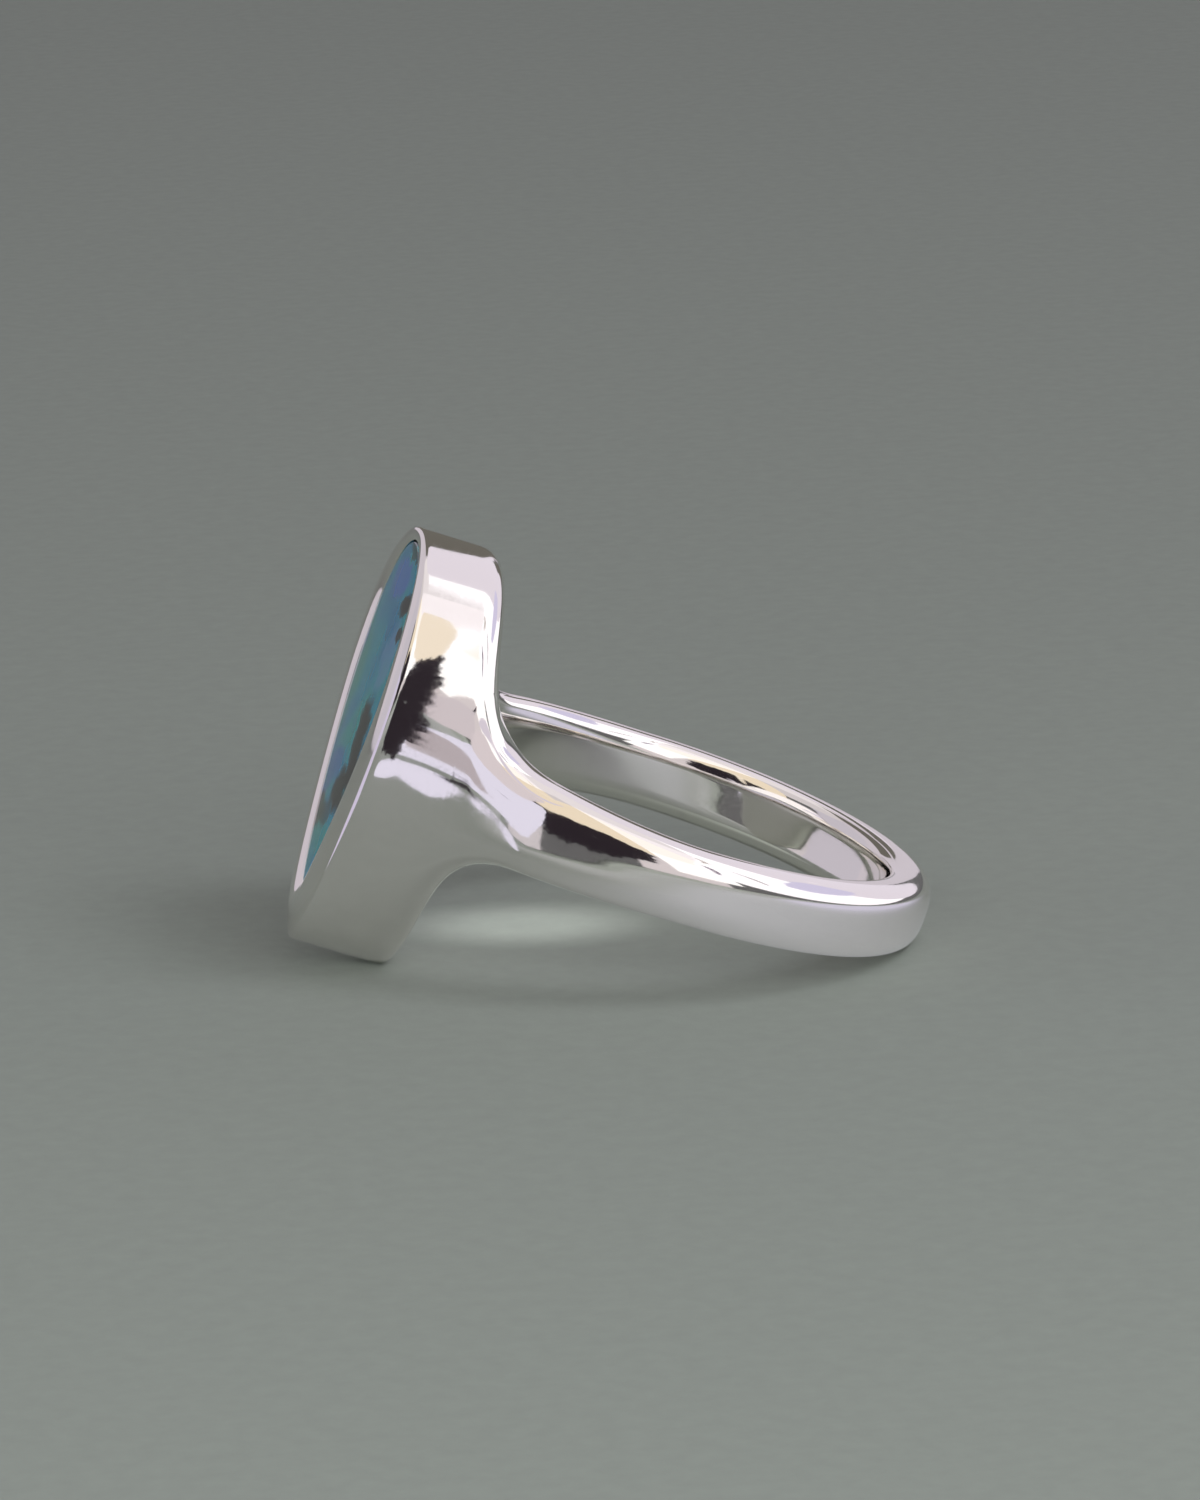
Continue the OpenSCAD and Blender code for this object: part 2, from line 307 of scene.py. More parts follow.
def wall_distance(sizes, y, z):
    """Distance out of the head's wall: the share less one, times the share, over its gradient."""
    u = z - HEAD_SHIFT
    half = sizes.head_length / 2
    width = egg_half_width(sizes, u)
    share = np.hypot(u / half, y / width)
    return share * (share - 1) / (np.hypot(u / half**2, y / width**2) + TINY)


def underside_slope(z):
    """Slope of the head's underside in radians, mixed from that of each end."""
    return np.radians(mixed(SLOPE_LOWER, SLOPE_UPPER, upper_share(z)))


def underside(sizes, z):
    """Height of the head's underside: the face's edge less the wall, sloping up from the ends."""
    wall = mixed(WALL_LOWER, WALL_UPPER, upper_share(z))
    from_end = sizes.head_length / 2 - np.hypot(z - HEAD_SHIFT, RIDGE_SOFT)
    return edge_height(sizes) - wall - from_end * np.tan(underside_slope(z))


def head_distance(sizes, x, y, z):
    """Distance out of the head: the larger of those out of its wall and its underside, joined softly."""
    below = (underside(sizes, z) + x) * np.cos(underside_slope(z))
    return soft_max(wall_distance(sizes, y, z), below, WALL_ROUND)


def band_distance(sizes, x, y, z):
    """Distance out of the band.

    Its section is a superellipse: the depth past the flat part and the width, as shares of the full ones,
    are raised to the squareness and added, and the root is taken. The half-width goes from the side's to
    the head's with a power of the cosine of the turn, and to the back's with the cosine itself.
    """
    r = np.hypot(x, y)
    c = -x / np.maximum(r, TINY)
    half = mixed(BAND_HALF_SIDE, BAND_HALF_HEAD, np.maximum(c, 0) ** BAND_SWELL)
    half = half + (BAND_HALF_BACK - BAND_HALF_SIDE) * np.maximum(-c, 0)
    depth = sizes.band_thickness - BAND_FLAT
    out = np.maximum(r - sizes.bore / 2 - BAND_FLAT, 0) / depth
    share = (out**BAND_SQUARE + (np.abs(z) / half) ** BAND_SQUARE) ** (1 / BAND_SQUARE)
    return (share - 1) * np.minimum(depth, half)


def silver_distance(sizes, points, sharp=False):
    """Distance out of the silver: head and band joined softly, less the hole with a soft or sharp edge."""
    x, y, z = points[..., 0], points[..., 1], points[..., 2]
    fillet = mixed(FILLET_LOWER, FILLET_UPPER, upper_share(z))
    blank = soft_min(head_distance(sizes, x, y, z), band_distance(sizes, x, y, z), fillet)
    relief = RELIEF * np.clip((np.abs(z) - RELIEF_FROM) / RELIEF_GROWS, 0, 1)
    hollow = sizes.bore / 2 + relief - np.hypot(x, y)
    return np.maximum(blank, hollow) if sharp else soft_max(blank, hollow, BORE_EDGE)


def cast(sizes, start, towards, reach, sharp=False):
    """Points where rays from inside the silver first leave it: marched in even steps, then halved."""
    start, towards = np.broadcast_arrays(start, towards)
    at = np.linspace(0, reach, MARCH_STEPS)
    marched = start[..., None, :] + towards[..., None, :] * at[:, None]
    outside = silver_distance(sizes, marched, sharp) > 0
    first = np.where(outside.any(-1), outside.argmax(-1), MARCH_STEPS - 1)
    low, high = at[np.maximum(first - 1, 0)], at[first]
    for _ in range(HALVINGS):
        middle = (low + high) / 2
        out = silver_distance(sizes, start + towards * middle[..., None], sharp) > 0
        low, high = np.where(out, low, middle), np.where(out, middle, high)
    return start + towards * ((low + high) / 2)[..., None]


def points_at(x, y, z):
    """Points from their three measures, with single numbers spread over the rest."""
    return np.stack(np.broadcast_arrays(x, y, z), -1)


def stacked(height, y, z):
    """Points from heights over the finger axis and places across and along it."""
    return points_at(-height, y, z)


def radial(angle):
    """Unit vectors out of the finger axis: minus the cosine and the sine of the angle from the face."""
    return points_at(-np.cos(angle), np.sin(angle), 0.0)


def angle_of(points):
    """Angle of points round the finger axis from the face."""
    return np.arctan2(points[..., 1], -points[..., 0])


def rounded_corner(before, corner, after):
    """Rows along a quadratic curve that leaves one point towards the corner and arrives at the other."""
    t = np.linspace(0, 1, CORNER_STEPS + 1)[:, None, None]
    return (1 - t) ** 2 * before + 2 * t * (1 - t) * corner + t**2 * after


def wall_points(sizes, turn, height):
    """Points of the head's wall at a height: rays straight out from inside the outline."""
    y, z = head_outline(sizes, turn)
    out = points_at(0.0, y, z)
    towards = out / np.linalg.norm(out, axis=-1, keepdims=True)
    return cast(sizes, stacked(height, RAY_START * y, RAY_START * z), towards, WALL_REACH)


def foot_height(sizes, turn):
    """Height over the finger axis at which the wall's rows end and the sides begin."""
    _, z = head_outline(sizes, turn)
    return soft_max(underside(sizes, z) + WALL_FOOT_GAP, WALL_FOOT, WALL_FOOT_SOFT)


def widest_turn(sizes):
    """Turn at which the wall's foot is farthest round the finger, from a close scan."""
    turn = np.radians(np.linspace(*WIDEST_TURNS, SCAN_STEPS))
    foot = wall_points(sizes, turn, foot_height(sizes, turn))
    return turn[np.argmax(np.arctan2(-foot[:, 1], -foot[:, 0]))]


def turns(widest):
    """Turns round the outline, in four runs of even steps that part where the head is widest."""
    ends = [0, widest, math.pi, 2 * math.pi - widest, 2 * math.pi]
    runs = [np.linspace(a, b, TURN_STEPS, endpoint=False) for a, b in zip(ends[:-1], ends[1:])]
    return np.concatenate(runs)


def rim_rows(sizes, turn):
    """Rows of the rim, with a rounded edge at each side.

    The strip runs from the pocket to the head's edge. Its height is mixed from theirs, plus the crown, a
    parabola that is nought at both.
    """
    edge = edge_height(sizes)
    inner = stone_outline(sizes, turn, STONE_GAP)
    outer = head_outline(sizes, turn)
    width = np.hypot(outer[0] - inner[0], outer[1] - inner[1])

    def strip(s):
        y, z = mixed(inner[0], outer[0], s), mixed(inner[1], outer[1], s)
        crown = RIM_CROWN * width * 4 * s * (1 - s)
        return stacked(mixed(face_height(sizes, *inner), edge, s) + crown, y, z)

    start = RIM_INNER_ROUND / width
    end = 1 - RIM_OUTER_ROUND / width
    strips = np.stack([strip(mixed(start, end, s)) for s in np.linspace(0, 1, RIM_STEPS + 1)])
    sunk = stacked(face_height(sizes, *inner) - RIM_INNER_ROUND, *inner)
    inside = rounded_corner(sunk, strip(0.0), strips[0])[:-1]
    below = wall_points(sizes, turn, edge - RIM_OUTER_ROUND)
    outside = rounded_corner(strips[-1], strip(1.0), below)[1:]
    return np.concatenate([inside, strips, outside])


def wall_rows(sizes, turn):
    """Rows of the wall from just under the rim down to its foot."""
    top = edge_height(sizes) - RIM_OUTER_ROUND
    foot = foot_height(sizes, turn)
    shares = np.linspace(0, 1, WALL_STEPS + 1)[1:]
    return np.stack([wall_points(sizes, turn, mixed(top, foot, s)) for s in shares])


def ridge_points(sizes, shoulder):
    """Outer ridge of the band, from the far shoulder round the back to the near one.

    It starts at the shoulder's height along the finger and comes down to the band's middle as the square
    of what is left of the turn over which it settles.
    """
    start = math.atan2(shoulder[1], -shoulder[0])
    share = np.arange(1, RIDGE_STEPS) / RIDGE_STEPS
    angle = mixed(start, 2 * math.pi - start, share - RIDGE_CLOSER * np.sin(2 * math.pi * share))
    past = math.pi - start - np.abs(math.pi - angle)
    base = radial(angle) * (sizes.bore + sizes.band_thickness) / 2
    base[:, 2] = shoulder[2] * np.maximum(1 - past / math.radians(RIDGE_SETTLES), 0) ** 2
    return cast(sizes, base, radial(angle), WALL_REACH)


def side_rows(sizes, tops, sign):
    """Rows over one side, from the outline to the finger hole.

    Each column stays in a plane of the finger axis, and its rays turn evenly about a point in the metal.
    """
    hole = sizes.bore / 2
    out = radial(angle_of(tops))
    along = np.array([0, 0, sign], float)
    r = np.hypot(tops[:, 0], tops[:, 1])
    z = sign * tops[:, 2]
    mouth = cast(sizes, out * (hole + MOUTH_DEPTH), along, MOUTH_REACH, sharp=True)
    edge = np.abs(mouth[:, 2]) - BORE_EDGE / 3
    from_r = r - RAY_DEPTH + RAY_START_OUT * np.maximum(z, 0) / (sizes.head_length / 2)
    from_z = RAY_START_ALONG * z
    start = np.arctan2(z - from_z, r - from_r)
    end = np.arctan2(edge - from_z, hole - from_r)
    end = np.where(end < 0, end + 2 * math.pi, end)
    angle = mixed(start, end, (np.arange(1, SIDE_STEPS + 1) / SIDE_STEPS)[:, None])
    base = out * from_r[:, None] + along * from_z[:, None]
    turned = np.cos(angle)[..., None] * out + np.sin(angle)[..., None] * along
    return cast(sizes, base, turned, SIDE_REACH)


def bore_rows(sizes, upper, lower):
    """Rows of the finger hole's wall between its mouths: rays from inside the metal towards the axis."""
    share = (np.arange(1, BORE_STEPS) / BORE_STEPS)[:, None]
    out = radial(mixed(angle_of(upper), angle_of(lower), share))
    start = out * (sizes.bore / 2 + BORE_EDGE / 2)
    start[..., 2] = mixed(upper[:, 2], lower[:, 2], share)
    return cast(sizes, start, -out, BORE_EDGE)


def skin(rows):
    """Quads over a run of closed rows of point numbers."""
    after = np.roll(rows, -1, axis=1)
    return np.stack([rows[:-1], after[:-1], after[1:], rows[1:]], -1).reshape(-1, 4)


def fan(centre, row):
    """Triangles from one point to a closed row."""
    return np.stack([np.full_like(row, centre), row, np.roll(row, -1)], -1)


def silver_surface(sizes):
    """Points, quads and triangles of the silver, its rows joined into one closed skin.

    The rows run from the pocket's flat floor over the rim and down the wall. From the wall's foot and the
    band's ridge one set goes over the upper side and one over the lower, and the hole's rows join the two.
    """
    turn = turns(widest_turn(sizes))
    count = len(turn)
    floor_height = edge_height(sizes) - STONE_DEPTH - STONE_GAP
    centre = stacked(floor_height, 0.0, STONE_SHIFT)
    floor = stacked(floor_height, *stone_outline(sizes, turn, STONE_GAP))
    wall = wall_rows(sizes, turn)
    face = np.concatenate([floor[None], rim_rows(sizes, turn), wall])
    foot = wall[-1]
    ridge = ridge_points(sizes, foot[3 * TURN_STEPS])
    upper_half = (TURN_STEPS - np.arange(2 * TURN_STEPS + 1)) % count
    lower_half = TURN_STEPS + np.arange(2 * TURN_STEPS + 1)
    upper = side_rows(sizes, np.vstack([foot[upper_half], ridge]), 1)
    lower = side_rows(sizes, np.vstack([foot[lower_half], ridge]), -1)
    bore = bore_rows(sizes, upper[-1], lower[-1])

    # Numbers of the points, in the order in which the parts are stacked
    parts = [part.reshape(-1, 3) for part in (centre, face, ridge, upper, lower, bore)]
    starts = np.cumsum([0] + [len(part) for part in parts])
    numbers = [start + np.arange(len(part)) for start, part in zip(starts, parts)]
    face_ids = numbers[1].reshape(-1, count)
    upper_ids, lower_ids, bore_ids = (ids.reshape(-1, upper.shape[1]) for ids in numbers[3:])
    upper_top = np.concatenate([face_ids[-1][upper_half], numbers[2]])
    lower_top = np.concatenate([face_ids[-1][lower_half], numbers[2]])
    quads = [
        skin(face_ids),
        skin(np.vstack([upper_top, upper_ids]))[:, ::-1],
        skin(np.vstack([lower_top, lower_ids])),
        skin(np.vstack([upper_ids[-1], bore_ids, lower_ids[-1]]))[:, ::-1],
    ]
    return np.vstack(parts), np.concatenate(quads), fan(0, face_ids[0])[:, ::-1]


def stone_surface(sizes):
    """Points, quads and triangles of the stone: domed top, rounded edge, straight sides and flat back."""
    turn = turns(math.pi / 2)
    y, z = stone_outline(sizes, turn)
    back = edge_height(sizes) - STONE_DEPTH

    def top(share):
        py, pz = y * share, mixed(STONE_SHIFT, z, share)
        return stacked(face_height(sizes, py, pz), py, pz)

    end = 1 - STONE_ROUND / np.hypot(y, z - STONE_SHIFT)
    dome = np.stack([top(end * s) for s in np.linspace(0, 1, STONE_STEPS + 1)[1:]])
    under = stacked(face_height(sizes, y, z) - STONE_ROUND, y, z)
    corner = rounded_corner(dome[-1], top(1.0), under)
    rows = np.concatenate([dome, corner[1:], stacked(back, y, z)[None]])
    ids = 1 + np.arange(rows.shape[0] * len(turn)).reshape(-1, len(turn))
    middle = stacked(face_height(sizes, 0.0, STONE_SHIFT), 0.0, STONE_SHIFT)
    base = stacked(back, 0.0, STONE_SHIFT)
    points = np.vstack([middle, rows.reshape(-1, 3), base])
    triangles = np.concatenate([fan(0, ids[0])[:, ::-1], fan(len(points) - 1, ids[-1])])
    return points, skin(ids), triangles


def to_row_frame(points):
    """Points in metres where the ring lies: turned by the bore's tilt about Y and moved to its middle."""
    c, s = math.cos(TILT), math.sin(TILT)
    turn = np.array([[c, 0, s], [0, 1, 0], [-s, 0, c]])
    return points * MM @ turn.T + RING_CENTRE


def add_mesh(name, points, faces, material):
    """Mesh object of one material, linked to the scene."""
    mesh = bpy.data.meshes.new(name)
    mesh.from_pydata(points, [], faces)
    mesh.update()
    mesh.materials.append(material)
    added = bpy.data.objects.new(name, mesh)
    bpy.context.scene.collection.objects.link(added)
    return added


def make_piece(name, surface, node, material):
    """Smooth piece of the ring that stands for a CAD node, kept within the box of the solids' facets."""
    points, quads, triangles = surface
    placed = np.clip(to_row_frame(points), *np.array(CAD_BOX))
    piece = add_mesh(name, placed.tolist(), quads.tolist() + triangles.tolist(), material)
    piece.data.shade_smooth()
    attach(piece, BODY)
    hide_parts(node)


def add_node(tree, kind, inputs=None, stops=None, **settings):
    """Adds one node with its settings. A socket among its inputs is linked, and stops fill a ramp."""
    node = tree.nodes.new(kind)
    for name, value in settings.items():
        setattr(node, name, value)
    for key, value in (inputs or {}).items():
        if isinstance(value, bpy.types.NodeSocket):
            tree.links.new(value, node.inputs[key])
        else:
            node.inputs[key].default_value = value
    for i, (place, colour) in enumerate(stops or ()):
        elements = node.color_ramp.elements
        element = elements[i] if i < 2 else elements.new(place)
        element.position = place
        element.color = colour
    return node


def new_material(name):
    """Empty node material and its output node."""
    material = bpy.data.materials.new(name)
    material.use_nodes = True
    tree = material.node_tree
    tree.nodes.clear()
    return material, tree, tree.nodes.new("ShaderNodeOutputMaterial")


def per_metre(millimetres):
    """Texture scale whose features repeat about every so many millimetres."""
    return 1 / (millimetres * MM)


def cast_silver_buffed(looks):
    """Sterling silver, cast and buffed by hand: a bright white mirror, slightly wavy, with faint lines."""
    material, tree, output = new_material("sterling_silver_buffed")
    place = add_node(tree, "ShaderNodeTexCoord").outputs["Object"]
    # The buff leaves waves about 3 mm long that bend reflections a little
    wave = add_node(
        tree,
        "ShaderNodeTexNoise",
        {"Vector": place, "Scale": per_metre(3.0), "Detail": 1.0},
    )
    # Buffing lines are microns wide, drawn 0.15 mm wide and eight times as long so that they show
    stretched = add_node(
        tree,
        "ShaderNodeMapping",
        {"Vector": place, "Scale": (1.0, 0.12, 1.0)},
    )
    lines = add_node(
        tree,
        "ShaderNodeTexNoise",
        {"Vector": stretched.outputs[0], "Scale": per_metre(0.15), "Detail": 2.0},
    )
    rough = add_node(
        tree,
        "ShaderNodeMapRange",
        {
            "Value": lines.outputs["Fac"],
            "From Min": 0.3,
            "From Max": 0.7,
            "To Min": looks.silver_roughness * 0.6,
            "To Max": looks.silver_roughness * 1.5,
        },
    )
    bump = add_node(
        tree,
        "ShaderNodeBump",
        {"Height": wave.outputs["Fac"], "Strength": 0.35, "Distance": 0.05 * MM},
    )
    shader = add_node(
        tree,
        "ShaderNodeBsdfPrincipled",
        {
            "Base Color": (*looks.silver_colour, 1.0),
            "Metallic": 1.0,
            "Roughness": rough.outputs[0],
            "Normal": bump.outputs[0],
        },
    )
    tree.links.new(shader.outputs[0], output.inputs["Surface"])
    return material


def boulder_opal_polished(looks):
    """Boulder opal, cut with its ironstone and polished: glassy sea-blue with dark brown stone in it."""
    material, tree, output = new_material("boulder_opal_polished")
    place = add_node(tree, "ShaderNodeTexCoord").outputs["Object"]
    # The stone's own frame: its middle at the origin, Z along the finger, in millimetres
    middle = to_row_frame(np.array(PATTERN_MIDDLE))
    centred = add_node(
        tree,
        "ShaderNodeVectorMath",
        {0: place, 1: middle.tolist()},
        operation="SUBTRACT",
    )
    upright = add_node(
        tree,
        "ShaderNodeVectorRotate",
        {"Vector": centred.outputs[0], "Angle": -TILT, "Axis": (0.0, 1.0, 0.0)},
        rotation_type="AXIS_ANGLE",
    )
    at = add_node(
        tree,
        "ShaderNodeVectorMath",
        {0: upright.outputs[0], "Scale": 1 / MM},
        operation="SCALE",
    ).outputs[0]
    # Colour lies in soft sheets some 3 mm across, with flakes of about 0.8 mm in them
    sheets = add_node(
        tree,
        "ShaderNodeTexNoise",
        {"Vector": at, "Scale": 1 / SHEET_SIZE, "Detail": 2.0},
    )
    body = add_node(
        tree,
        "ShaderNodeValToRGB",
        {"Fac": sheets.outputs["Fac"]},
        stops=[
            (0.3, (*looks.opal_deep, 1.0)),
            (0.47, (*looks.opal_sea, 1.0)),
            (0.62, (*looks.opal_green, 1.0)),
            (0.75, (*looks.opal_violet, 1.0)),
        ],
    )
    flakes = add_node(
        tree,
        "ShaderNodeTexVoronoi",
        {"Vector": at, "Scale": 1 / FLAKE_SIZE},
        feature="SMOOTH_F1",
    )
    tint = add_node(
        tree,
        "ShaderNodeValToRGB",
        {"Fac": flakes.outputs["Distance"]},
        stops=[(0.1, linear("#9FE3DC")), (0.6, linear("#6FA6D8"))],
    )
    colour = add_node(
        tree,
        "ShaderNodeMix",
        {0: 0.25, 6: body.outputs[0], 7: tint.outputs[0]},
        data_type="RGBA",
        blend_type="SOFT_LIGHT",
    ).outputs[2]
    # Brown ironstone runs through it in streaks whose edges wander by about half a millimetre
    wander = add_node(
        tree,
        "ShaderNodeTexNoise",
        {"Vector": at, "Scale": 1 / WANDER_SIZE, "Detail": 4.0, "Roughness": 0.6},
    )
    either_way = add_node(
        tree,
        "ShaderNodeVectorMath",
        {0: wander.outputs["Color"], 1: (0.5, 0.5, 0.5)},
        operation="SUBTRACT",
    )
    moved = add_node(
        tree,
        "ShaderNodeVectorMath",
        {0: either_way.outputs[0], 1: WANDER_REACH, 2: at},
        operation="MULTIPLY_ADD",
    )
    # A patch covers up to 0.7 of its half-sizes and fades out at 1.25 of them
    for (across, along), (half_across, half_along), lean, code, cover in STONE_PATCHES:
        inside = add_node(
            tree,
            "ShaderNodeMapping",
            {
                "Vector": moved.outputs[0],
                "Location": (0.0, across, along),
                "Rotation": (math.radians(lean), 0.0, 0.0),
                "Scale": (PATCH_THROUGH, half_across, half_along),
            },
            vector_type="TEXTURE",
        )
        reach = add_node(tree, "ShaderNodeVectorMath", {0: inside.outputs[0]}, operation="LENGTH")
        mask = add_node(
            tree,
            "ShaderNodeMapRange",
            {"Value": reach.outputs["Value"], "From Min": 1.25, "From Max": 0.7, "To Max": cover},
            interpolation_type="SMOOTHSTEP",
        )
        colour = add_node(
            tree,
            "ShaderNodeMix",
            {0: mask.outputs[0], 6: colour, 7: linear(code)},
            data_type="RGBA",
        ).outputs[2]
    shader = add_node(
        tree,
        "ShaderNodeBsdfPrincipled",
        {"Base Color": colour, "Roughness": 0.06, "IOR": 1.41},
    )
    tree.links.new(shader.outputs[0], output.inputs["Surface"])
    return material


def sugar_paper_matt(looks):
    """Sage-grey sugar paper, rolled and uncoated: dead matt, with short fibres that give a fine mottle,
    and a streak of light painted on it.
    """
    material, tree, output = new_material("sugar_paper_matt")
    place = add_node(tree, "ShaderNodeTexCoord").outputs["Object"]
    fibres = add_node(
        tree,
        "ShaderNodeTexNoise",
        {"Vector": place, "Scale": per_metre(0.9), "Detail": 5.0},
    )
    mottle = add_node(
        tree,
        "ShaderNodeMapRange",
        {"Value": fibres.outputs["Fac"], "To Min": 0.92, "To Max": 1.08},
    )
    # Painted light: the paper's colour is made brighter in a soft streak inside the ring, where the
    # polished band throws light back on it
    streak = add_node(
        tree,
        "ShaderNodeMapping",
        {
            "Vector": place,
            "Location": (STREAK_MIDDLE[0] * MM, STREAK_MIDDLE[1] * MM, 0.0),
            "Rotation": (0.0, 0.0, math.radians(STREAK_TURN)),
            "Scale": (STREAK_SIZE[0] * MM, STREAK_SIZE[1] * MM, 1.0),
        },
        vector_type="TEXTURE",
    )
    reach = add_node(tree, "ShaderNodeVectorMath", {0: streak.outputs[0]}, operation="LENGTH")
    lift = add_node(
        tree,
        "ShaderNodeMapRange",
        {
            "Value": reach.outputs["Value"],
            "From Min": 1.0,
            "From Max": 0.2,
            "To Min": 1.0,
            "To Max": STREAK_LIFT,
        },
        interpolation_type="SMOOTHSTEP",
    )
    bright = add_node(
        tree,
        "ShaderNodeMath",
        {0: mottle.outputs[0], 1: lift.outputs[0]},
        operation="MULTIPLY",
    )
    colour = add_node(
        tree,
        "ShaderNodeVectorMath",
        {0: tuple(looks.paper_colour), "Scale": bright.outputs[0]},
        operation="SCALE",
    )
    bump = add_node(
        tree,
        "ShaderNodeBump",
        {"Height": fibres.outputs["Fac"], "Strength": 0.3, "Distance": 0.1 * MM},
    )
    shader = add_node(
        tree,
        "ShaderNodeBsdfPrincipled",
        {"Base Color": colour.outputs[0], "Roughness": 0.95, "Normal": bump.outputs[0]},
    )
    tree.links.new(shader.outputs[0], output.inputs["Surface"])
    return material


def card_material(name, colour, strength, fade):
    """Evenly shining card.

    A fade is a place on the floor, the distances from it where the card is clear and where it is fullest,
    and how far it covers there.
    """
    material, tree, output = new_material(name)
    glow = add_node(
        tree,
        "ShaderNodeEmission",
        {"Color": linear(colour), "Strength": strength},
    )
    if fade:
        (x, y), clear_at, full_at, full = fade
        place = add_node(tree, "ShaderNodeTexCoord").outputs["Object"]
        away = add_node(
            tree,
            "ShaderNodeVectorMath",
            {0: place, 1: (x * MM, y * MM, 0.0)},
            operation="DISTANCE",
        )
        cover = add_node(
            tree,
            "ShaderNodeMapRange",
            {
                "Value": away.outputs["Value"],
                "From Min": clear_at * MM,
                "From Max": full_at * MM,
                "To Max": full,
            },
            interpolation_type="SMOOTHSTEP",
        )
        clear = add_node(tree, "ShaderNodeBsdfTransparent")
        glow = add_node(
            tree,
            "ShaderNodeMixShader",
            {0: cover.outputs[0], 1: clear.outputs[0], 2: glow.outputs[0]},
        )
    tree.links.new(glow.outputs[0], output.inputs["Surface"])
    return material


def direction(azimuth, elevation):
    """Unit vectors from the ring: azimuth 0 is towards the viewer, 90 to the right, elevation upwards."""
    a, e = np.radians(azimuth), np.radians(elevation)
    return points_at(np.sin(a) * np.cos(e), -np.cos(a) * np.cos(e), np.sin(e))


def on_dome(azimuth, elevation, distance):
    """Places on a sphere about the ring."""
    return RING_CENTRE + distance * MM * direction(azimuth, elevation)


def on_screen(x, z, y):
    """Places on an upright screen in front of the ring or behind it."""
    return points_at(x, y, z) * MM


def on_side_screen(y, z, x):
    """Places on an upright screen to the left of the face."""
    return points_at(x, y, z) * MM


def on_bent_screen(z, shift, y):
    """Places on an upright screen, measured up it and sideways from a parabola that leans to the right."""
    rise = z - BEND_FROM
    return on_screen(BEND_AT + BEND_SLOPE * rise + BEND_CURVE * rise**2 + shift, z, y)


def on_floor(x, y, z):
    """Places just over the floor."""
    return points_at(x, y, z) * MM


def panel(first, second, depth, place):
    """Card whose two measures run between limits, on an even grid."""
    u, v = np.meshgrid(np.linspace(*first, CARD_STEPS + 1), np.linspace(*second, CARD_STEPS + 1))
    ids = np.arange(u.size).reshape(u.shape)
    quads = np.stack([ids[:-1, :-1], ids[1:, :-1], ids[1:, 1:], ids[:-1, 1:]], -1)
    return place(u, v, depth).reshape(-1, 3), quads.reshape(-1, 4)


def blot(centre, radii, lean, ragged, depth, place):
    """Card with a ragged round edge: a leaning ellipse, times one plus a share of sines of the turn."""
    turn = np.radians(np.arange(0, 360, 360 / BLOT_STEPS))
    wave = sum(height * np.sin(count * turn + start) for count, height, start in RAGGED_WAVES)
    share = np.linspace(BLOT_HUB, 1, CARD_STEPS)[:, None] * (1 + ragged * wave)
    u, v = radii[0] * share * np.cos(turn), radii[1] * share * np.sin(turn)
    c, s = math.cos(math.radians(lean)), math.sin(math.radians(lean))
    points = place(centre[0] + c * u - s * v, centre[1] + s * u + c * v, depth)
    return points.reshape(-1, 3), skin(np.arange(u.size).reshape(u.shape))


